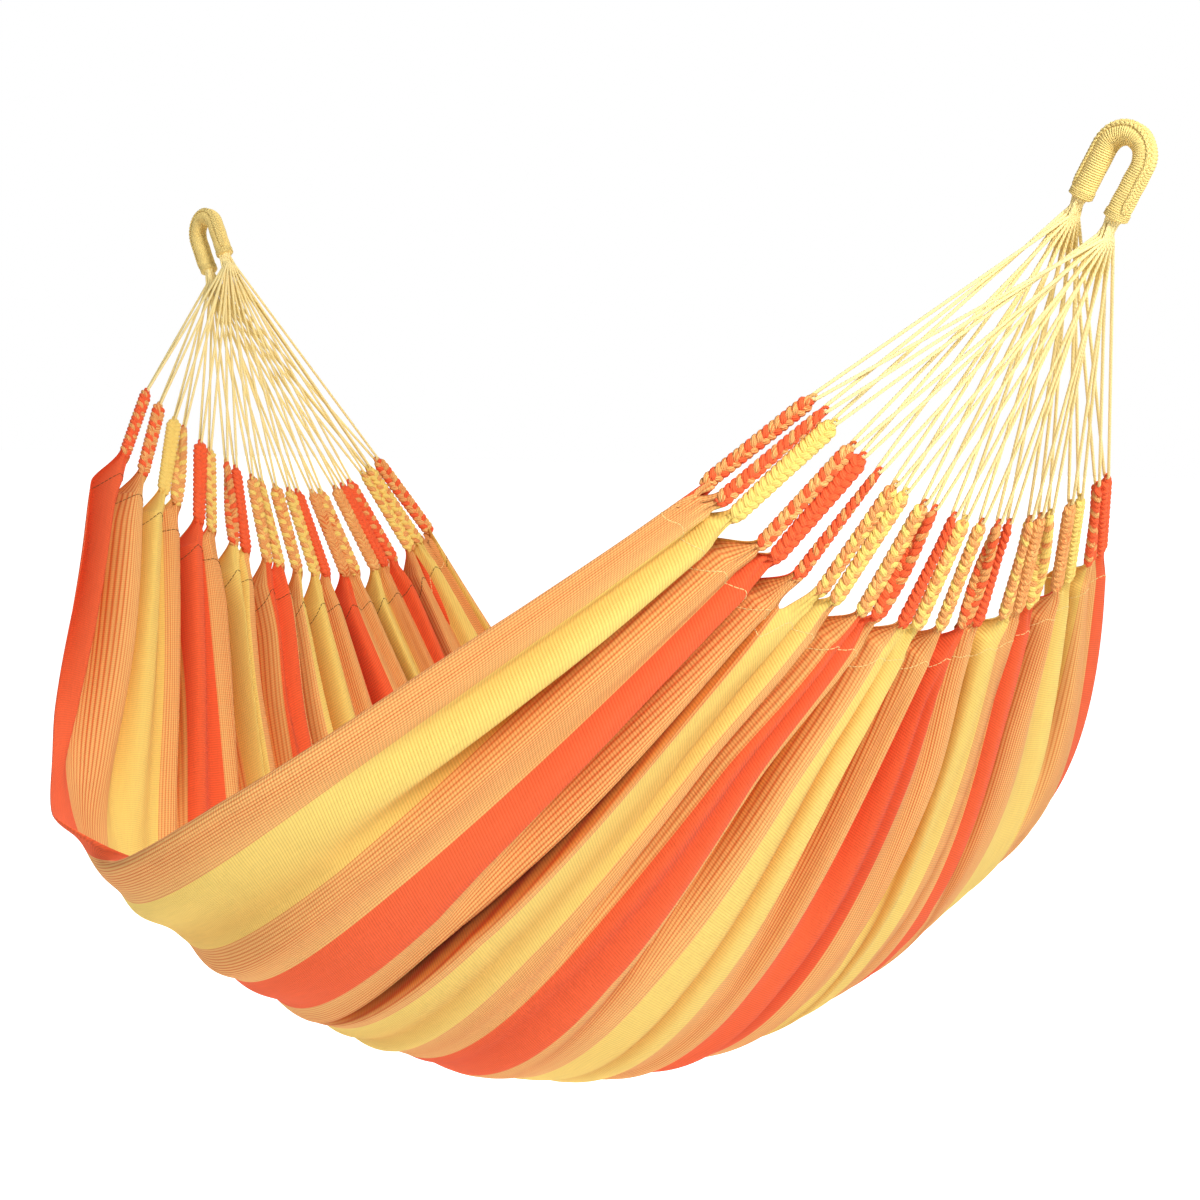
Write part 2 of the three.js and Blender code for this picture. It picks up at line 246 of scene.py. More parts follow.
def make_world(strength):
    world = bpy.data.worlds.new("studio")
    world.use_nodes = True
    tree = world.node_tree
    tree.nodes.clear()
    output = tree.nodes.new("ShaderNodeOutputWorld")
    mix = tree.nodes.new("ShaderNodeMixShader")
    path = tree.nodes.new("ShaderNodeLightPath")
    tree.links.new(path.outputs["Is Camera Ray"], mix.inputs[0])
    # The object is lit with the given strength, and the camera sees plain white.
    for number, power in ((1, strength), (2, 1.0)):
        background = tree.nodes.new("ShaderNodeBackground")
        background.inputs["Color"].default_value = WHITE
        background.inputs["Strength"].default_value = power
        tree.links.new(background.outputs[0], mix.inputs[number])
    tree.links.new(mix.outputs[0], output.inputs["Surface"])
    bpy.context.scene.world = world
    bpy.context.scene.view_settings.view_transform = "Standard"


# ---- Shape of the hanging cloth, as in the CAD model ----


def slope_at(s):
    catenary = np.arctan(s * math.tan(HANG_ANGLE))
    return (1 - SAG_SHAPE) * HANG_ANGLE * s + SAG_SHAPE * catenary


def sag_table():
    s = np.linspace(-1.06, 1.06, 2121)
    parts = (np.arange(60) + 0.5) / 60
    slope = slope_at(s[:, None] * parts)
    step = s * CLOTH_ARC / 2 / 60
    return s, np.cos(slope).sum(1) * step, np.sin(slope).sum(1) * step


SAG_S, SAG_RUN, SAG_RISE = sag_table()
HALF_RUN = float(np.interp(1, SAG_S, SAG_RUN))
HALF_RISE = float(np.interp(1, SAG_S, SAG_RISE))
HALF_SPAN = CLEW_REACH * math.cos(HANG_ANGLE) + HALF_RUN
DEPTH = CLEW_REACH * math.sin(HANG_ANGLE) + HALF_RISE


def bed_point(s, v):
    """Points of the smooth bed: s from -1 at the left end to 1, v from 0 at the front to 1."""
    angle = FRONT_EDGE_ANGLE + (BACK_EDGE_ANGLE - FRONT_EDGE_ANGLE) * v
    side = np.sin(angle)
    run = np.interp(s, SAG_S, SAG_RUN)
    radius = DEPTH - np.interp(s, SAG_S, SAG_RISE)
    across = run / HALF_SPAN
    middle = 1 - across * across
    spread = (1 + RIGHT_SPREAD * across * middle) * (1 + MID_SPREAD * middle)
    lift = 1 - (1 + SIDE_LIFT) * (1 - np.cos(angle))
    depth = MID_DROP + BACK_DROP * side + SIDE_DROP * side * side - LEFT_DROP * across
    leftward = np.maximum(0, -across)
    flare = (1 - v) ** 2 * (FRONT_SKEW * across - FRONT_FLARE * leftward**2)
    y = radius * side * spread + middle * (MID_SHIFT + flare)
    return np.stack([HALF_SPAN + run, y, -radius * lift * (1 + middle * depth)], -1)


def unit(vectors):
    return vectors / np.linalg.norm(vectors, axis=-1, keepdims=True)


def bed_normal(s, v):
    e = 0.004
    along = bed_point(s + e, v) - bed_point(s - e, v)
    across = bed_point(s, v + e) - bed_point(s, v - e)
    return unit(np.cross(across, along))


def smooth(low, high, x):
    t = np.clip((x - low) / (high - low), 0, 1)
    return t * t * (3 - 2 * t)


def braid_space(s, v):
    """Room across the bed for one braid's share of the cloth."""
    step = 0.5 / BRAID_COUNT
    return np.linalg.norm(bed_point(s, v + step) - bed_point(s, v - step), axis=-1)


def spare_width(s, v):
    """Squared height of the flute that takes up the cloth for which there is no room."""
    share, space = CLOTH_WIDTH / BRAID_COUNT, braid_space(s, v)
    return np.maximum(share * share - space * space, 0) / 16


def flute_height(s, v):
    return np.sqrt(spare_width(s, v) + FLUTE_REST**2)


def flute_height_at_end(s, v):
    """The crest of a flute at a braid root, as in the CAD model."""
    return np.sqrt(spare_width(s, v))


def group_ends(name):
    """Which of the boundaries between braids have a deep slit, with the two edges."""
    ends = np.zeros(BRAID_COUNT + 1, bool)
    ends[np.concatenate([[0], np.cumsum(GROUPS[name])])] = True
    return ends


def group_leans(name):
    """How far each braid leans to the middle of its group, as a share of a braid."""
    return np.concatenate([GROUP_LEAN * ((n - 1) / 2 - np.arange(n)) for n in GROUPS[name]])


def valley_depths(name):
    """Depth of the valley at each boundary between braids, as a share of the flute height."""
    deep = RNG.uniform(1.05, 1.45, BRAID_COUNT + 1)
    shallow = RNG.uniform(0.15, 0.5, BRAID_COUNT + 1)
    return np.where(group_ends(name), deep, shallow)


VALLEY_DEPTH = {-1: valley_depths("left"), 1: valley_depths("right")}
# The deepest crease takes the place of the valley beside it.
VALLEY_DEPTH[1][round(CREASES[0][0] * BRAID_COUNT)] = FILLED_VALLEY
LEANS = {-1: group_leans("left"), 1: group_leans("right")}
DRIFT = RNG.uniform(0, 2 * math.pi, 6)
RIPPLES = [
    (RNG.uniform(5, 30), RNG.uniform(0.4, 2.6), RNG.uniform(0, 2 * math.pi))
    for _ in range(RIPPLE_COUNT)
]


def slide(v, slides):
    return sum(shift * np.exp(-(((v - at) / wide) ** 2)) for at, shift, wide in slides)


def slid(s, v):
    """Where the thread at v lies once the cloth has bunched between its ends."""
    amount = 1 - smooth(0.72, 0.97, np.abs(s))
    left = smooth(0.0, -0.3, s) * (1 - smooth(0.86, 0.99, np.abs(s)))
    return v + amount * slide(v, SLIDES) + left * slide(v, LEFT_SLIDES)


def facing(s):
    """Which way the flutes bulge: outwards (1), but inwards (-1) at the left end."""
    return 2 * smooth(-0.40, -0.05, s) - 1


def valley_share(s, v):
    """Depth of the valleys between the flutes, as a share of the flute height."""
    away = 1 - s * s
    drift = (
        0.010 * np.sin(2.1 * s + 9 * v + DRIFT[0])
        + 0.006 * np.sin(3.7 * s - 21 * v + DRIFT[1])
    ) * away
    place = BRAID_COUNT * (v + drift)
    off = place - np.floor(place) - 0.5
    nearest = np.clip(np.round(place), 0, BRAID_COUNT).astype(int)
    toward_right = smooth(-0.4, 0.4, s)
    deep = (1 - toward_right) * VALLEY_DEPTH[-1][nearest]
    deep = deep + toward_right * VALLEY_DEPTH[1][nearest]
    sharp = 2 + 2.0 * smooth(0.3, 0.9, np.abs(s))
    return deep * np.abs(np.sin(math.pi * off)) ** sharp


def crease_shares(s, v):
    """Each long crease with how much of its depth it has at each point."""
    for where, start, end, depth, width in CREASES:
        shown = smooth(start, start + 0.35, s) * (1 - smooth(end - 0.12, end, s))
        if start < -0.9:
            shown = smooth(start, start + 0.08, s) * (1 - smooth(end - 0.3, end, s))
        bend = where + 0.004 * np.sin(4 * s + 40 * where)
        apart = (v - bend) * CLOTH_WIDTH
        lips = 0
        if depth > LIPPED_DEPTH:
            lips = LIP_HEIGHT * shown * np.tanh(apart / LIP_EDGE)
            lips = lips * np.exp(-((apart / LIP_REACH) ** 2))
        yield depth, shown * np.exp(-np.abs(apart / width) ** 1.6), lips


def cloth_relief(s, v):
    """Height of the flutes, creases and ripples over the smooth bed."""
    relief = flute_height(s, v) * (1 - 2 * valley_share(s, v))
    for depth, share, lips in crease_shares(s, v):
        relief = relief - depth * share + lips
    relief = relief * facing(s)
    along, across = (s - BELLY_ALONG[0]) / BELLY_ALONG[1], (v - BELLY_ACROSS[0]) / BELLY_ACROSS[1]
    relief = relief + BELLY * np.exp(-(along**2) - across**2)
    for across, along, phase in RIPPLES:
        relief = relief + RIPPLE_HEIGHT * np.sin(2 * math.pi * across * v + along * 3 * s + phase)
    return relief


def painted_shade_depth(s, v):
    """How much painted shade a point gets from the folds: 1 in a deep valley, 2 in the deepest crease.
    """
    flutes = smooth(0.006, 0.014, flute_height(s, v)) * (0.35 + 0.65 * smooth(0.1, 0.8, np.abs(s)))
    painted_shade = 0.85 * flutes * np.minimum(valley_share(s, v), 1)
    for depth, share, _ in crease_shares(s, v):
        spread = 0.5 if depth > LIPPED_DEPTH else 0.7
        painted_shade = painted_shade + np.minimum(depth / DARK_DEPTH, 2) * share**spread
    return np.minimum(painted_shade, 2)


def cloth_point(s, v):
    """Points on the cloth away from its gathered ends."""
    place = slid(s, v)
    return bed_point(s, place) + bed_normal(s, place) * cloth_relief(s, v)[..., None]


def fold_over(points, s, v, line, share, side):
    """Folds the cloth beyond a line: towards the inside (side -1) or the outside (1)."""
    start = np.full_like(v, line)
    step = -0.002 * side
    apart = np.linalg.norm(bed_point(s, v) - bed_point(s, start), axis=-1)
    beyond = np.where((v - line) * side > 0, apart, 0)
    away = unit(bed_point(s, start) - bed_point(s, start + step))
    off = side * bed_normal(s, start)
    tight = smooth(0.60, 0.92, np.abs(s))
    whole = FOLD_TURN + FOLD_TIGHTER * tight
    arc = FOLD_ARC * (1 - FOLD_SHORTER * tight)
    angle = whole * np.minimum(beyond / arc, 1)
    flat = np.maximum(beyond - arc, 0) * (1 + FOLD_FURTHER * tight)
    radius = arc / whole
    reach = radius * np.sin(angle) + flat * np.cos(whole)
    depth = radius * (1 - np.cos(angle)) + flat * np.sin(whole)
    folded = cloth_point(s, start) + away * reach[..., None] + off * depth[..., None]
    share = share * (beyond > 0)
    return points + (folded - points) * share[..., None]


def fold_edges(points, s, v):
    """The front edge turns in over the right half, the back edge turns out at the left end."""
    points = fold_over(points, s, v, FRONT_FOLD / CLOTH_WIDTH, smooth(-0.04, 0.12, s), -1)
    return fold_over(points, s, v, 1 - BACK_FOLD / CLOTH_WIDTH, 1 - smooth(-0.55, -0.25, s), 1)


# ---- Mesh building ----


def lengths_along(points):
    """Distance of each point of a path from its start."""
    return np.concatenate([[0], np.cumsum(np.linalg.norm(np.diff(points, axis=0), axis=1))])


def read_off(at, along, table):
    """Rows of a table of vectors, at these distances along its path."""
    return np.stack([np.interp(at, along, table[:, k]) for k in range(3)], 1)


def resampled(points, step):
    along = lengths_along(points)
    return read_off(np.linspace(0, along[-1], int(along[-1] / step) + 1), along, points)


def new_mesh(name, points, faces):
    """A mesh from arrays of faces, each array with its own number of corners to a face."""
    totals = np.concatenate([np.full(len(f), f.shape[1]) for f in faces])
    loops = np.concatenate([f.reshape(-1) for f in faces])
    starts = np.concatenate([[0], np.cumsum(totals)[:-1]])
    mesh = bpy.data.meshes.new(name)
    mesh.vertices.add(len(points))
    mesh.vertices.foreach_set("co", points.astype(np.float32).reshape(-1))
    mesh.loops.add(len(loops))
    mesh.loops.foreach_set("vertex_index", loops.astype(np.int32))
    mesh.polygons.add(len(totals))
    mesh.polygons.foreach_set("loop_start", starts.astype(np.int32))
    mesh.update(calc_edges=True)
    return mesh


def set_values(mesh, name, values):
    layer = mesh.attributes.new(name, "FLOAT", "POINT")
    layer.data.foreach_set("value", values.astype(np.float32))


class Shape:
    """Gathers tubes, each with its end caps, into one mesh."""

    def __init__(self):
        self.points = []
        self.faces = []
        self.wraps = []
        self.warps = []
        self.count = 0

    def tube(self, centres, a, b, outline, warp=None, along=None):
        """A closed tube: outline (rings, sides, 2) is measured along a and b at each centre."""
        rings, sides = outline.shape[:2]
        ring = centres[:, None] + outline[..., :1] * a[:, None] + outline[..., 1:] * b[:, None]
        index = self.count + np.arange(rings * sides).reshape(rings, sides)
        after = np.roll(index, -1, axis=1)
        quads = np.stack([index[:-1], after[:-1], after[1:], index[1:]], -1).reshape(-1, 4)
        if along is None:
            along = lengths_along(centres)
        u = np.arange(sides + 1) / sides
        low, high = along[:-1, None], along[1:, None]
        left, right = u[None, :-1], u[None, 1:]
        corners = [(left, low), (right, low), (right, high), (left, high)]
        shape = (rings - 1, sides)
        spread = [[np.broadcast_to(part, shape) for part in corner] for corner in corners]
        wrap = np.stack([np.stack(corner, -1) for corner in spread], axis=2)
        self.points.append(ring.reshape(-1, 3))
        self.faces += [quads, index[:1, ::-1], index[-1:]]
        caps = np.zeros((2 * sides, 2))
        caps[:sides, 1], caps[sides:, 1] = along[0], along[-1]
        self.wraps += [wrap.reshape(-1, 2), caps]
        self.warps.append(np.zeros(rings * sides) if warp is None else warp.reshape(-1))
        self.count += rings * sides

    def build(self, name, material):
        mesh = new_mesh(name, np.concatenate(self.points), self.faces)
        layer = mesh.uv_layers.new(name="wrap")
        layer.data.foreach_set("uv", np.concatenate(self.wraps).astype(np.float32).reshape(-1))
        set_values(mesh, "warp", np.concatenate(self.warps))
        return add_object(name, mesh, material)


def add_object(name, mesh, material):
    mesh.polygons.foreach_set("use_smooth", np.ones(len(mesh.polygons), bool))
    mesh.materials.append(material)
    made = bpy.data.objects.new(name, mesh)
    bpy.context.scene.collection.objects.link(made)
    return made


def transported(points):
    """Directions a and b across a path that turn as little as they can, with a x b along it."""
    along = unit(np.gradient(points, axis=0))
    a = np.cross(along[0], (0.31, 0.83, 0.46))
    sideways = np.empty_like(points)
    for i, t in enumerate(along):
        a = a - t * a.dot(t)
        a = a / math.sqrt(a.dot(a))
        sideways[i] = a
    return sideways, np.cross(along, sideways)


def framed(points, reference):
    """Directions a and b across a path, with b as near as it can be to the reference."""
    along = unit(np.gradient(points, axis=0))
    b = unit(reference - along * (along * reference).sum(-1, keepdims=True))
    return np.cross(b, along), b


def lobed(rings, sides, radius_a, radius_b, lobes=0, depth=0.0, twist=None):
    """Ring outlines with rounded lobes that turn by twist (radians at each ring)."""
    angle = 2 * math.pi * np.arange(sides) / sides
    angle = np.broadcast_to(angle, (rings, sides))
    turned = angle if twist is None else angle - twist[:, None]
    swell = 1 + depth * np.cos(lobes * turned)
    ra = np.broadcast_to(np.asarray(radius_a, float).reshape(-1, 1), (rings, 1))
    rb = np.broadcast_to(np.asarray(radius_b, float).reshape(-1, 1), (rings, 1))
    return np.stack([ra * swell * np.cos(angle), rb * swell * np.sin(angle)], -1)


# ---- Shader nodes ----


def feed(tree, socket, value):
    """Links another node's output to a socket, or sets a plain value on it."""
    if isinstance(value, bpy.types.NodeSocket):
        tree.links.new(value, socket)
    else:
        socket.default_value = value


def maths(tree, operation, *values):
    node = tree.nodes.new("ShaderNodeMath")
    node.operation = operation
    for socket, value in zip(node.inputs, values):
        feed(tree, socket, value)
    return node.outputs[0]


def blend_colours(tree, factor, first, second, kind="MIX"):
    node = tree.nodes.new("ShaderNodeMix")
    node.data_type = "RGBA"
    node.blend_type = kind
    for number, value in ((0, factor), (6, first), (7, second)):
        feed(tree, node.inputs[number], value)
    return node.outputs[2]


def wave(tree, value, pitch, phase=0.0):
    """A wave from 0 to 1 with the given pitch."""
    turned = maths(tree, "MULTIPLY_ADD", value, 2 * math.pi / pitch, phase)
    return maths(tree, "MULTIPLY_ADD", maths(tree, "SINE", turned), 0.5, 0.5)


def ramp(tree, value, stops, interpolation):
    node = tree.nodes.new("ShaderNodeValToRGB")
    node.color_ramp.interpolation = interpolation
    elements = node.color_ramp.elements
    while len(elements) > 1:
        elements.remove(elements[-1])
    elements[0].position, elements[0].color = stops[0]
    for place, colour in stops[1:]:
        elements.new(place).color = colour
    tree.links.new(value, node.inputs[0])
    return node.outputs[0]


def noise(tree, vector, scale, detail=3.0):
    node = tree.nodes.new("ShaderNodeTexNoise")
    node.inputs["Scale"].default_value = scale
    node.inputs["Detail"].default_value = detail
    tree.links.new(vector, node.inputs["Vector"])
    return node.outputs["Fac"]


def attribute(tree, name):
    node = tree.nodes.new("ShaderNodeAttribute")
    node.attribute_name = name
    return node.outputs["Fac"]


def vector(tree, x, y, z=0.0):
    node = tree.nodes.new("ShaderNodeCombineXYZ")
    for socket, value in zip(node.inputs, (x, y, z)):
        feed(tree, socket, value)
    return node.outputs[0]


def stretched_noise(tree, x, x_scale, y, y_scale):
    place = vector(tree, maths(tree, "MULTIPLY", x, x_scale), maths(tree, "MULTIPLY", y, y_scale))
    return noise(tree, place, 1.0)


def shaded(tree, colour, value, least, most):
    """The colour, multiplied by least where value is 0 and by most where it is 1."""
    span = maths(tree, "MULTIPLY_ADD", value, most - least, least)
    grey = vector(tree, span, span, span)
    return blend_colours(tree, 1.0, colour, grey, "MULTIPLY")


def start_material(name):
    material = bpy.data.materials.new(name)
    material.use_nodes = True
    tree = material.node_tree
    tree.nodes.clear()
    shader = tree.nodes.new("ShaderNodeBsdfPrincipled")
    output = tree.nodes.new("ShaderNodeOutputMaterial")
    tree.links.new(shader.outputs[0], output.inputs["Surface"])
    shader.inputs["Roughness"].default_value = 0.92
    shader.inputs["Specular IOR Level"].default_value = 0.18
    shader.inputs["Sheen Weight"].default_value = 0.04
    shader.inputs["Sheen Roughness"].default_value = 0.55
    return material, tree, shader


def finish_material(tree, shader, colour, height, distance):
    tree.links.new(colour, shader.inputs["Base Color"])
    bump = tree.nodes.new("ShaderNodeBump")
    bump.inputs["Strength"].default_value = 1.0
    bump.inputs["Distance"].default_value = distance
    tree.links.new(height, bump.inputs["Height"])
    tree.links.new(bump.outputs[0], shader.inputs["Normal"])


def stripe_stops():
    """Where each stripe starts across the cloth, from 0 to 1, with its kind."""
    widths = [STRIPE_WIDTHS[kind] for kind in STRIPES]
    total = sum(widths)
    starts = np.concatenate([[0], np.cumsum(widths)[:-1]]) / total
    return [(float(a), w / total, kind) for a, w, kind in zip(starts, widths, STRIPES)]


def stripe_place(kind, v):
    """Middle of the stripe of this kind that lies nearest to v."""
    middles = [a + w / 2 for a, w, name in stripe_stops() if name == BRAID_KINDS[kind]]
    return min(middles, key=lambda middle: abs(middle - v))


def stripe_colour(tree, warp):
    """Colour of the warp threads at a place across the cloth."""
    code = {"red": (1, 0, 0, 1), "orange": (0, 1, 0, 1), "yellow": (0, 0, 1, 1)}
    code["edge"] = code["red"]
    stops = stripe_stops()
    kinds = ramp(tree, warp, [(a, code[kind]) for a, _, kind in stops], "CONSTANT")
    hearts = []
    for a, w, kind in stops:
        if kind == "orange":
            hearts += [(a, (0, 0, 0, 1)), (a + w / 2, WHITE), (a + w, (0, 0, 0, 1))]
    heart = ramp(tree, warp, hearts, "LINEAR")
    parts = tree.nodes.new("ShaderNodeSeparateColor")
    tree.links.new(kinds, parts.inputs[0])
    across = maths(tree, "MULTIPLY", warp, CLOTH_WIDTH)
    thread = maths(tree, "POWER", wave(tree, across, 0.0038), 1.7)
    uneven = noise(tree, vector(tree, maths(tree, "MULTIPLY", across, 130), 0.0), 1.0, 0.0)
    strength = maths(tree, "MULTIPLY_ADD", heart, 0.20, 0.34)
    strength = maths(tree, "MULTIPLY_ADD", uneven, 0.45, strength)
    lines = maths(tree, "MULTIPLY", thread, strength)
    lines = maths(tree, "MULTIPLY_ADD", heart, 0.10, lines)
    lines = maths(tree, "MINIMUM", lines, 1.0)
    orange = blend_colours(tree, lines, ORANGE_PALE, ORANGE_DEEP)
    warm = blend_colours(tree, parts.outputs[0], YELLOW, RED)
    return blend_colours(tree, parts.outputs[1], warm, orange), across


def cloth_material():
    material, tree, shader = start_material("striped_cotton")
    warp = attribute(tree, "warp")
    weft = attribute(tree, "weft")
    colour, across = stripe_colour(tree, warp)
    slub = stretched_noise(tree, across, 420, weft, 26)
    colour = shaded(tree, colour, slub, 0.90, 1.08)
    cloud = stretched_noise(tree, across, 5, weft, 2.2)
    colour = shaded(tree, colour, cloud, 0.955, 1.035)
    # Painted shade: a warm dark in the valleys, and near black in the deepest crease.
    painted_shade = attribute(tree, "painted_shade")
    valley_shade_amount = maths(tree, "MINIMUM", painted_shade, 1.0)
    colour = blend_colours(tree, valley_shade_amount, colour, PAINTED_VALLEY_SHADE, "MULTIPLY")
    deepest = maths(tree, "MAXIMUM", maths(tree, "SUBTRACT", painted_shade, 1.0), 0.0)
    colour = blend_colours(tree, deepest, colour, PAINTED_CREASE_SHADE, "MULTIPLY")
    # Twill ribs: painted shade in the grooves between them and a faint painted highlight on their
    # tops.
    slant = maths(tree, "MULTIPLY_ADD", across, 0.35, weft)
    rib = wave(tree, slant, 0.0034)
    colour = shaded(tree, colour, rib, 0.88, 1.04)
    ends = wave(tree, across, 0.0017)
    height = maths(tree, "MULTIPLY_ADD", ends, 0.55, rib)
    height = maths(tree, "MULTIPLY_ADD", slub, 0.6, height)
    finish_material(tree, shader, colour, height, 0.00040)
    return material


def wrap_parts(tree):
    """Turn round a tube (0 to 1) and distance along it, in metres."""
    node = tree.nodes.new("ShaderNodeUVMap")
    node.uv_map = "wrap"
    parts = tree.nodes.new("ShaderNodeSeparateXYZ")
    tree.links.new(node.outputs[0], parts.inputs[0])
    return parts.outputs[0], parts.outputs[1]


def yarn_height(tree, turn, along, threads, pitch):
    """Ridges of the threads of a yarn, which climb round it with the given pitch."""
    climb = maths(tree, "MULTIPLY_ADD", along, 1 / pitch, turn)
    return wave(tree, maths(tree, "MULTIPLY", climb, threads), 1.0)


def braid_material(name):
    """Plaited warp threads: each keeps the colour that it has in the cloth."""
    material, tree, shader = start_material(name)
    turn, along = wrap_parts(tree)
    colour, _ = stripe_colour(tree, attribute(tree, "warp"))
    ridges = yarn_height(tree, turn, along, 9, 0.040)
    slub = stretched_noise(tree, turn, 14, along, 160)
    # Painted shade in the grooves between the threads, with a faint painted highlight on their crests.
    colour = shaded(tree, colour, ridges, 0.84, 1.04)
    colour = shaded(tree, colour, slub, 0.90, 1.10)
    height = maths(tree, "MULTIPLY_ADD", slub, 0.5, ridges)
    finish_material(tree, shader, colour, height, 0.0005)
    return material


def yarn_material(name, base, threads, pitch, least=0.86):
    """A plied cotton cord or thread."""
    material, tree, shader = start_material(name)
    turn, along = wrap_parts(tree)
    ridges = yarn_height(tree, turn, along, threads, pitch)
    slub = stretched_noise(tree, turn, 9, along, 120)
    tone = noise(tree, vector(tree, 0.0, maths(tree, "MULTIPLY", along, 3.0)), 1.0)
    colour = tree.nodes.new("ShaderNodeRGB")
    colour.outputs[0].default_value = base
    # Painted shade in the grooves between the threads, down to least, and a faint painted highlight on
    # their crests.
    tinted = shaded(tree, colour.outputs[0], ridges, least, 1.03)
    tinted = shaded(tree, tinted, slub, 0.92, 1.08)
    tinted = shaded(tree, tinted, tone, 0.90, 1.10)
    height = maths(tree, "MULTIPLY_ADD", slub, 0.4, ridges)
    finish_material(tree, shader, tinted, height, 0.0003)
    return material


# ---- One end of the hammock ----


class End:
    """The hook seat, and the directions down the cords and across the eye."""

    def __init__(self, name, edge):
        self.name = name
        self.edge = edge
        self.seat = np.array([0.0 if edge < 0 else 2 * HALF_SPAN, 0.0, 0.0])
        self.down = np.array([-edge * math.cos(HANG_ANGLE), 0, -math.sin(HANG_ANGLE)])
        self.aside = np.array([-edge * math.sin(HANG_ANGLE), 0, math.cos(HANG_ANGLE)])

    def leg_end(self, leg):
        return self.seat + self.down * (EYE_CENTRE + EYE_LEG) + self.aside * leg * EYE_RADIUS

    def braid_frame(self, i):
        """Root of braid i, and its directions across, along and out of the cloth."""
        s, v = np.array(float(self.edge)), np.array((i + 0.5 + LEANS[self.edge][i]) / BRAID_COUNT)
        crest = flute_height_at_end(s, v)
        root = bed_point(s, v) + bed_normal(s, v) * self.edge * (crest + ROOT_LIFT)
        root = fold_edges(root, s, v)
        to_hook = unit(self.seat - root)
        broad = bed_point(s, v + 0.01) - bed_point(s, v - 0.01)
        broad = unit(broad - to_hook * broad.dot(to_hook))
        return root, broad, to_hook, np.cross(broad, to_hook)

    def eye_path(self, steps, inset=0.0):
        """Centres along the horseshoe from leg 1 to leg -1, with the outward direction."""
        bend = math.pi * EYE_RADIUS
        length = np.linspace(inset, bend + 2 * EYE_LEG - inset, steps) - EYE_LEG
        turn = np.clip(length / EYE_RADIUS, 0, math.pi)
        straight = np.where(length < 0, -length, np.maximum(length - bend, 0))
        drop = EYE_CENTRE - EYE_RADIUS * np.sin(turn) + straight
        centres = (
            self.seat
            + self.down * drop[:, None]
            + self.aside * (EYE_RADIUS * np.cos(turn))[:, None]
        )
        outward = -self.down * np.sin(turn)[:, None] + self.aside * np.cos(turn)[:, None]
        return centres, outward


# ---- Clew cords ----

Y_AXIS = np.array([0.0, 1.0, 0.0])


def bundle_places(count, spacing):
    """Places of the strands inside the eye: a hexagonal bundle, in order across it."""
    grid = [
        (spacing * (i + 0.5 * (j % 2)), spacing * 0.866 * j)
        for i in range(-5, 6)
        for j in range(-5, 6)
    ]
    grid.sort(key=lambda p: (round(math.hypot(*p), 6), math.atan2(p[1], p[0])))
    return sorted(grid[:count], key=lambda p: p[0])


def clew_route(end):
    """One cord that runs over the eye and down to each braid in turn."""
    places = bundle_places(BRAID_COUNT, STRAND_SPACING)
    centres, outward = end.eye_path(60)
    points = []
    for i in range(BRAID_COUNT):
        across, out = places[i]
        over = (centres + outward * out + Y_AXIS * across)[::-1]
        points.append(over[6:] if i == 0 else over)
        root, _, to_hook, _ = end.braid_frame(i)
        sideways = unit(end.aside - to_hook * end.aside.dot(to_hook))
        tip = root + to_hook * (ROOT_GAP + BRAID_LENGTH + TIP_GAP)
        gathers = []
        for leg in (1, -1):
            gather = end.leg_end(leg) + end.down * GATHER_DROP
            gather = gather + end.aside * (i % 3 - 1) * GATHER_ROW_SPACING
            gathers.append(gather + Y_AXIS * GATHER_SPREAD * (2 * i / (BRAID_COUNT - 1) - 1))
        angle = np.linspace(0, math.pi, 9)[:, None]
        turn = (
            tip
            + sideways * LOOP_HALF_WIDTH * np.cos(angle)
            - to_hook * LOOP_HALF_WIDTH * np.sin(angle)
        )
        points += [gathers[0][None], turn, gathers[1][None]]
    across, out = places[0]
    last = (centres + outward * out + Y_AXIS * across)[::-1]
    points.append(last[:6])
    return resampled(np.concatenate(points), CORD_STEP)


def clew_cord(end, material):
    path = clew_route(end)
    a, b = transported(path)
    turn = CORD_STEP * np.arange(len(path)) * 2 * math.pi / CORD_LAY
    shape = Shape()
    shape.tube(path, a, b, lobed(len(path), 12, CORD_RADIUS, CORD_RADIUS, 3, 0.07, turn))
    piece = shape.build(f"clew_{end.name}", material)
    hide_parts(f"clew_cords_{end.name}", f"eye_core_{end.name}")
    legs = (end.leg_end(1) + end.leg_end(-1)) / 2
    above, below = legs + end.down * 0.001, legs + end.down * 0.020
    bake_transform(piece)
    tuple(above)
    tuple(below)


# ---- Cloth bed ----


def grid_rows():
    """Distance of each grid row from the left end (negative s) and the right end."""
    half = CLOTH_ARC / 2
    slit = SLIT_STEP * np.arange(SLIT_ROWS + 1)
    rest = int(round((half - slit[-1]) / ROW_STEP))
    inner = slit[-1] + (half - slit[-1]) * (np.arange(1, rest + 1) / rest)
    reach = np.concatenate([slit, inner])
    left = -(1 - reach / half)
    right = (1 - reach[:-1] / half)[::-1]
    gap = np.concatenate([reach, reach[:-1][::-1]])
    return np.concatenate([left, right]), gap


def slit_depths(name):
    """Depth of the slit between each two braids, in whole grid rows."""
    deep = RNG.integers(14, SLIT_ROWS - 2, BRAID_COUNT + 1)
    shallow = RNG.integers(5, 9, BRAID_COUNT + 1)
    return SLIT_STEP * np.where(group_ends(name), deep, shallow)


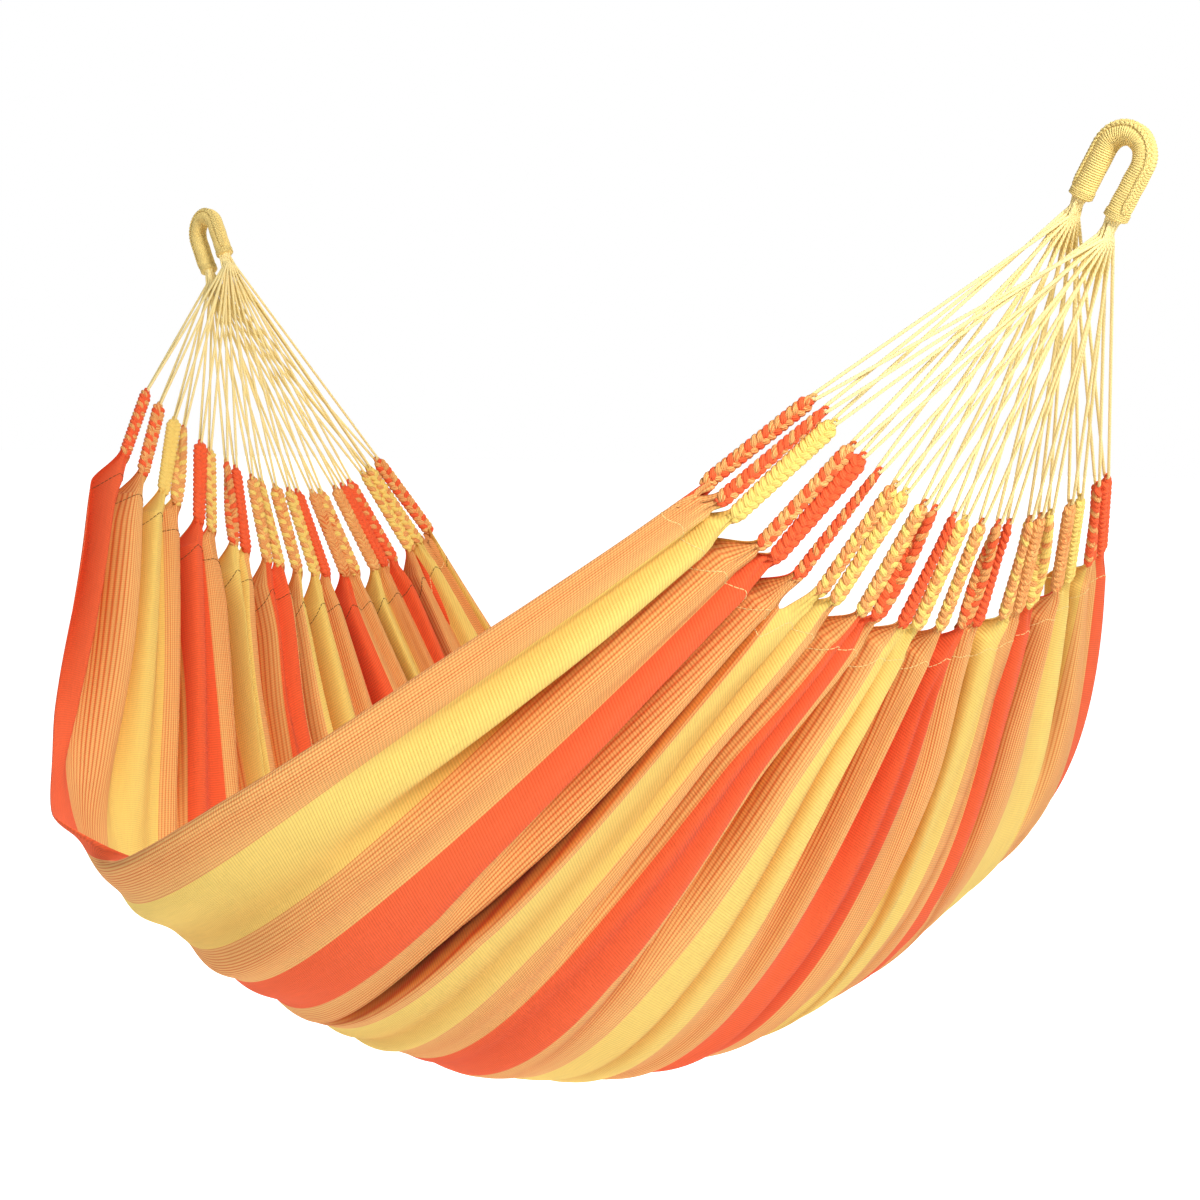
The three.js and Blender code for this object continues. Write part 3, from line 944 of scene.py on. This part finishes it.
def gathered(s, gap, off, share, slits, leans):
    """How far each point is drawn in to its braid: its new place, and its share of the draw."""
    left, right = slits[share], slits[share + 1]
    depth = np.where(off < 0, left, right)
    at_corner = ((share == 0) & (off < 0)) | ((share == BRAID_COUNT - 1) & (off >= 0))
    depth = np.where(at_corner, CORNER_TAPER, depth)
    near = np.clip(1 - gap / depth, 0, 1)
    reach = np.clip(1 - gap / (SLIT_STEP * SLIT_ROWS), 0, 1)
    draw = np.sqrt(np.maximum(1 - (1 - near) ** 2, 0))
    draw = np.where(at_corner, near * near * (3 - 2 * near), draw)
    least = 2 * NECK_HALF_WIDTH / braid_space(s, (share + 0.5) / BRAID_COUNT)
    lean = leans[share] * reach * reach * (3 - 2 * reach)
    return lean + off * (1 - (1 - least) * draw), near


def column_places():
    """Grid columns in each braid's share, from -0.5 to 0.5, closer together at the deep crease."""
    even = np.linspace(-0.5, 0.5, COLUMNS + 1)
    places = np.tile(even, (BRAID_COUNT, 1))
    share, centre = divmod(CREASES[0][0] * BRAID_COUNT, 1)
    fine = np.linspace(-0.5, 0.5, 400)
    density = 1 + 5 * np.exp(-(((fine - centre + 0.5) / 0.07) ** 2))
    filled = np.cumsum(density) - density[0]
    places[int(share)] = np.interp(even + 0.5, filled / filled[-1], fine)
    return places


def cloth_grid():
    s_rows, gap_rows = grid_rows()
    rows = len(s_rows)
    shape = (rows, BRAID_COUNT, COLUMNS + 1)
    s = np.broadcast_to(s_rows[:, None, None], shape)
    gap = np.broadcast_to(gap_rows[:, None, None], shape)
    share = np.broadcast_to(np.arange(BRAID_COUNT)[None, :, None], shape)
    off = np.broadcast_to(column_places()[None], shape)
    natural = (share + 0.5 + off) / BRAID_COUNT
    slits = {-1: slit_depths("left"), 1: slit_depths("right")}
    per_row = np.where(s_rows[:, None] < 0, slits[-1][None], slits[1][None])
    drawn = np.empty(shape)
    near = np.empty(shape)
    for side, mask in ((-1, s < 0), (1, s >= 0)):
        d, n = gathered(s[mask], gap[mask], off[mask], share[mask], slits[side], LEANS[side])
        drawn[mask], near[mask] = d, n
    gathered_v = (share + 0.5 + drawn) / BRAID_COUNT
    v = slid(s, gathered_v)
    crest = facing(s) * (flute_height_at_end(s, (share + 0.5) / BRAID_COUNT) + ROOT_LIFT)
    rise = near * near * (3 - 2 * near)
    pleat = smooth(PLEAT_REACH, 0.0, gap)
    pleats = PLEAT_DEPTH * pleat**1.5 * np.cos(2 * math.pi * (3.5 * off + 0.2 * share))
    relief = cloth_relief(s, natural) * (1 - rise) + crest * rise + pleats * (1 - 0.35 * rise)
    points = bed_point(s, v) + bed_normal(s, v) * relief[..., None]
    points = fold_edges(points, s, gathered_v)
    index = np.arange(points.size // 3).reshape(shape)
    for k in range(BRAID_COUNT - 1):
        joined = gap_rows >= per_row[:, k + 1] - 1e-9
        index[joined, k, -1] = index[joined, k + 1, 0]
    quads = np.stack(
        [index[:-1, :, :-1], index[:-1, :, 1:], index[1:, :, 1:], index[1:, :, :-1]], -1
    )
    return points, quads.reshape(-1, 4), natural, s


def make_cloth(grid, material):
    points, quads, natural, s = grid
    used, packed = np.unique(quads, return_inverse=True)
    quads = packed.reshape(-1, 4)
    points, v, s = points.reshape(-1, 3)[used], natural.reshape(-1)[used], s.reshape(-1)[used]
    mesh = new_mesh("cloth", points, [quads])
    set_values(mesh, "warp", v)
    set_values(mesh, "weft", s * CLOTH_ARC / 2)
    thin = add_object("thin_cloth", mesh, material)
    solid = thin.modifiers.new("thickness", "SOLIDIFY")
    solid.thickness = CLOTH_THICKNESS
    solid.offset = 0.0
    bpy.context.view_layer.update()
    graph = bpy.context.evaluated_depsgraph_get()
    thick = bpy.data.meshes.new_from_object(thin.evaluated_get(graph))
    bpy.data.objects.remove(thin)
    thick.materials.clear()
    sides = np.empty(3 * len(thick.vertices), np.float32)
    thick.vertices.foreach_get("co", sides)
    lifted = ((sides.reshape(2, -1, 3) - points) * bed_normal(s, v)).sum(-1) > 0
    # Painted shade for the valleys and creases, only on the side of the cloth towards which the flutes
    # bulge.
    painted_shade, bulge = painted_shade_depth(s, v), facing(s)
    seen = np.maximum(np.where(lifted, bulge, -bulge), 0)
    set_values(thick, "painted_shade", (painted_shade * seen).reshape(-1))
    piece = add_object("bed", thick, material)
    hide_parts("bed_cloth")
    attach(piece, "hammock")
    return piece


# ---- Hem stitching ----


def hem_line(end, v):
    """Place along the cloth of the stitching, which goes round each slit."""
    at_slit = group_ends(end.name)[np.round(v * BRAID_COUNT).astype(int)]
    deepest = SCALLOP_DEPTH * np.where(at_slit, 1, SHALLOW_SCALLOP)
    cut = deepest * 0.5 * (1 + np.cos(2 * math.pi * BRAID_COUNT * v))
    return end.edge * (1 - (cut + HEM_INSET) / (CLOTH_ARC / 2))


def on_cloth(grid, s, v):
    """Points of the cloth, read off its grid."""
    points, _, natural, rows = grid
    share = np.clip((v * BRAID_COUNT).astype(int), 0, BRAID_COUNT - 1)
    row = np.interp(s, rows[:, 0, 0], np.arange(len(rows)))
    columns = np.arange(COLUMNS + 1)
    column = np.concatenate(
        [np.interp(v[share == k], natural[0, k], columns) for k in range(BRAID_COUNT)]
    )
    r = np.minimum(row.astype(int), len(rows) - 2)
    c = np.minimum(column.astype(int), COLUMNS - 1)
    down, over = (row - r)[:, None], (column - c)[:, None]
    near = points[r, share, c] * (1 - over) + points[r, share, c + 1] * over
    far = points[r + 1, share, c] * (1 - over) + points[r + 1, share, c + 1] * over
    return near * (1 - down) + far * down


def surface_frame(grid, s, v):
    e = 0.0012
    here = on_cloth(grid, s, v)
    along = on_cloth(grid, s + e, v) - here
    across = on_cloth(grid, s, v + e) - on_cloth(grid, s, v - e)
    return here, unit(np.cross(across, along))


def stitch_row(grid, end, side, material, name):
    """A row of stitches on the outside (1) or the inside (-1) of the cloth."""
    fine = np.linspace(0.004, 0.996, 6000)
    s = hem_line(end, fine)
    line, normal = surface_frame(grid, s, fine)
    along = lengths_along(line)
    shape = Shape()
    for start in np.arange(0.002, along[-1] - STITCH_PITCH, STITCH_PITCH):
        at = start + np.linspace(0, STITCH_PITCH * 0.8, 6)
        middle, out = read_off(at, along, line), unit(read_off(at, along, normal))
        lift = CLOTH_THICKNESS / 2 + 0.0005 * np.sin(np.linspace(0, math.pi, 6)) - 0.0001
        centres = middle + side * out * lift[:, None]
        a, b = framed(centres, out)
        shape.tube(centres, a, b, lobed(6, 6, 0.00055, 0.00045))
    piece = shape.build(name, material)
    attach(piece, "hammock")
    return piece


# ---- Braids ----


def plait_strands(shape, place, length, half_width, half_depth, radius, pitch, warps, twist=0.0):
    """Three flat strands that cross each other; place() puts local points in the frame."""
    rings = int(length[1] / 0.0013)
    y = np.linspace(length[0], length[1], rings)
    ease = smooth(length[0], length[0] + 0.010, y) * 0.35 + 0.65
    ease = ease * (1 - 0.35 * smooth(length[1] - 0.010, length[1], y))
    lean = twist * y / length[1]
    for j in range(3):
        phase = 2 * math.pi * (y / pitch + j / 3)
        x = half_width * np.sin(phase) * ease
        z = half_depth * np.sin(2 * phase) * ease
        turned = x * np.cos(lean) - z * np.sin(lean), x * np.sin(lean) + z * np.cos(lean)
        local = np.stack([turned[0], y, turned[1]], 1)
        depthward = np.stack([-np.sin(lean), np.zeros(rings), np.cos(lean)], 1)
        centres, reference = place(local), place(local + depthward) - place(local)
        a, b = framed(centres, reference)
        thick = radius * (0.55 + 0.45 * smooth(length[0], length[0] + 0.008, y))
        thick = thick * (1 - 0.4 * smooth(length[1] - 0.006, length[1], y))
        outline = lobed(rings, 12, thick * 1.12, thick * 0.84, 6, 0.05, y * 70)
        angle = 2 * math.pi * np.arange(12) / 12
        spread = 0.45 * np.sin(angle[None, :] - (y * 70)[:, None])
        warp = None if warps is None else warps[j][0] + warps[j][1] * spread
        shape.tube(centres, a, b, outline, warp)


def make_braid(end, i, materials, rng):
    root, broad, to_hook, out = end.braid_frame(i)
    basis = np.stack([broad, to_hook, out])

    def place(local):
        return root + local @ basis

    size = rng.uniform(0.86, 1.06)
    twist = rng.choice([0, 0, 0, 0.6, -0.8, 2.6]) if 0 < i < BRAID_COUNT - 1 else 0
    colours = BRAIDS[end.name].split()[i]
    warps = [(stripe_place(kind, (i + 0.5) / BRAID_COUNT), 0.018) for kind in colours]
    shape = Shape()
    plait_strands(
        shape,
        place,
        (-0.008, ROOT_GAP + BRAID_LENGTH - 0.001),
        STRAND_ACROSS * size,
        STRAND_THROUGH,
        STRAND_RADIUS * size,
        rng.uniform(0.023, 0.028),
        warps,
        twist,
    )
    turn = np.linspace(0, math.pi, 13)
    reach = ROOT_GAP + BRAID_LENGTH
    side = TIP_LOOP_HALF_WIDTH
    arc = np.stack([side * np.cos(turn), reach + 0.0015 + side * np.sin(turn), 0 * turn], 1)
    foot = np.array([[side, reach - 0.010, 0]]), np.array([[-side, reach - 0.010, 0]])
    loop = resampled(np.concatenate([foot[0], arc, foot[1]]), 0.0008)
    centres = place(loop)
    a, b = framed(centres, np.broadcast_to(out, centres.shape))
    warp = np.full((len(centres), 10), warps[0][0])
    plied = lobed(len(centres), 10, 0.0018, 0.0015, 3, 0.06, np.arange(len(centres)) * 0.35)
    shape.tube(centres, a, b, plied, warp)
    number = f"{i + 1:02d}"
    slot = BRAID_KINDS[max("ROY", key=colours.count)]
    piece = shape.build(f"plait_{end.name}_{number}", materials[slot])
    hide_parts(f"braid_{end.name}_{number}")
    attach(piece, "hammock")


# ---- Eyes ----


def make_whipping(end, material):
    """The wrapped horseshoe: cord wound side by side round the bundle."""
    steps = 620
    centres, outward = end.eye_path(steps)
    along = np.linspace(0, math.pi * EYE_RADIUS + 2 * EYE_LEG, steps)
    sides = 44
    angle = 2 * math.pi * np.arange(sides) / sides
    tangent = unit(np.gradient(centres, axis=0))
    b = np.cross(tangent, outward)
    winding = along[:, None] / WRAP_PITCH - angle[None, :] / (2 * math.pi)
    groove = np.abs(np.sin(math.pi * winding)) ** 0.7
    uneven = 0.00025 * np.sin(along * 260)[:, None] * np.cos(2 * angle + 1)[None, :]
    from_end = np.minimum(along, along[-1] - along)
    taper = 0.86 + 0.14 * np.sqrt(np.clip(from_end / 0.004, 0, 1))
    radius = (WHIPPING_RADIUS - WRAP_GROOVE + WRAP_GROOVE * groove + uneven) * taper[:, None]
    outline = np.stack([radius * np.cos(angle), radius * np.sin(angle)], -1)
    shape = Shape()
    shape.tube(centres, outward, b, outline, along=along)
    piece = shape.build(f"whipping_{end.name}", material)
    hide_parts(f"eye_whipping_{end.name}")
    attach(piece, f"eye_{end.name}")


def make_ridge(end, material):
    """The row of locked stitches down the outside of the whipping, turned towards the front."""
    centres, outward = end.eye_path(400, RIDGE_INSET)
    along = lengths_along(centres)
    out = outward * math.cos(RIDGE_TURN) - Y_AXIS * math.sin(RIDGE_TURN)
    side = outward * math.sin(RIDGE_TURN) + Y_AXIS * math.cos(RIDGE_TURN)
    crest = centres + out * (WHIPPING_RADIUS + 0.0003)

    def place(local):
        base, up, aside = (read_off(local[:, 1], along, table) for table in (crest, out, side))
        return base + up * local[:, 2:] + aside * local[:, :1]

    shape = Shape()
    plait_strands(shape, place, (0.0, along[-1]), 0.0030, 0.0009, 0.0016, 0.012, None)
    piece = shape.build(f"ridge_{end.name}", material)
    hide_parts(f"eye_ridge_{end.name}")
    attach(piece, f"eye_{end.name}")


def make_binding(end, leg, name, material):
    """Four turns of cord that hold the end of one leg."""
    turns = 4
    t = np.linspace(0, turns, turns * 40)
    radius = WHIPPING_RADIUS - 0.0004
    drop = 0.0020 * (t - turns / 2) - 0.0055
    angle = 2 * math.pi * t
    centres = (
        end.leg_end(leg)
        + end.down * drop[:, None]
        + end.aside * (radius * np.cos(angle))[:, None]
        + Y_AXIS * (radius * np.sin(angle))[:, None]
    )
    a, b = framed(centres, np.broadcast_to(end.down, centres.shape))
    shape = Shape()
    shape.tube(centres, a, b, lobed(len(t), 9, 0.0012, 0.0011, 3, 0.1, t * 18))
    piece = shape.build(f"binding_{end.name}_{name}", material)
    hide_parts(f"eye_binding_{end.name}_{name}")
    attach(piece, f"eye_{end.name}")


# ---- Floor ----


def make_floor():
    material, tree, shader = start_material("floor")
    place = tree.nodes.new("ShaderNodeNewGeometry").outputs["Position"]
    colour = tree.nodes.new("ShaderNodeRGB")
    colour.outputs[0].default_value = (0.86, 0.86, 0.86, 1)
    speckle = noise(tree, place, 30)
    spotted = shaded(tree, colour.outputs[0], speckle, 0.99, 1.01)
    finish_material(tree, shader, spotted, speckle, 0.00005)
    shader.inputs["Emission Color"].default_value = WHITE
    # The camera sees it white, but it lights the object less than that.
    seen = tree.nodes.new("ShaderNodeLightPath").outputs["Is Camera Ray"]
    glow = maths(tree, "MULTIPLY_ADD", seen, 0.75, 0.25)
    tree.links.new(glow, shader.inputs["Emission Strength"])
    reach = FLOOR_RADIUS
    angle = np.linspace(0, 2 * math.pi, 96, endpoint=False)
    corners = [
        (HALF_SPAN + reach * math.cos(a), reach * math.sin(a), FLOOR_HEIGHT) for a in angle
    ]
    mesh = bpy.data.meshes.new("floor")
    mesh.from_pydata(corners, [], [list(range(len(corners)))])
    add_object("floor", mesh, material)


# ---- The scene ----

make_camera()
ENDS = [End("left", -1), End("right", 1)]
cord_material = yarn_material("clew_cotton", CORD, 3, CORD_LAY, 0.94)
for hammock_end in ENDS:
    clew_cord(hammock_end, cord_material)

make_world(0.33)
make_area("key", (4.2, -1.0, 1.7), 1.1, 146)
make_area("fill", (-0.4, -3.2, 1.6), 2.4, 10)
make_area("back", (-1.6, 3.4, 1.8), 2.4, 100)
make_floor()

cloth = cloth_grid()
bed = make_cloth(cloth, cloth_material())
hem_pieces = []
pale_thread = yarn_material("hem_thread", THREAD, 2, 0.004)
dark_thread = yarn_material("bobbin_thread", BOBBIN, 2, 0.004)
for hammock_end in ENDS:
    outer = stitch_row(cloth, hammock_end, 1, pale_thread, f"hem_outside_{hammock_end.name}")
    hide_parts(f"hem_stitch_{hammock_end.name}")
    inner = stitch_row(cloth, hammock_end, -1, dark_thread, f"hem_inside_{hammock_end.name}")
    hem_pieces += [outer, inner]

braid_materials = {
    kind: braid_material(f"braid_{kind}_cotton") for kind in ("red", "orange", "yellow")
}
whipping_material = yarn_material("whipping_cotton", WHIPPING, 1, WRAP_PITCH, 0.84)
ridge_material = yarn_material("ridge_cotton", WHIPPING, 3, 0.007, 0.72)
for hammock_end in ENDS:
    for number in range(BRAID_COUNT):
        make_braid(hammock_end, number, braid_materials, RNG)
    make_whipping(hammock_end, whipping_material)
    make_ridge(hammock_end, ridge_material)
    make_binding(hammock_end, 1, "upper", ridge_material)
    make_binding(hammock_end, -1, "lower", ridge_material)
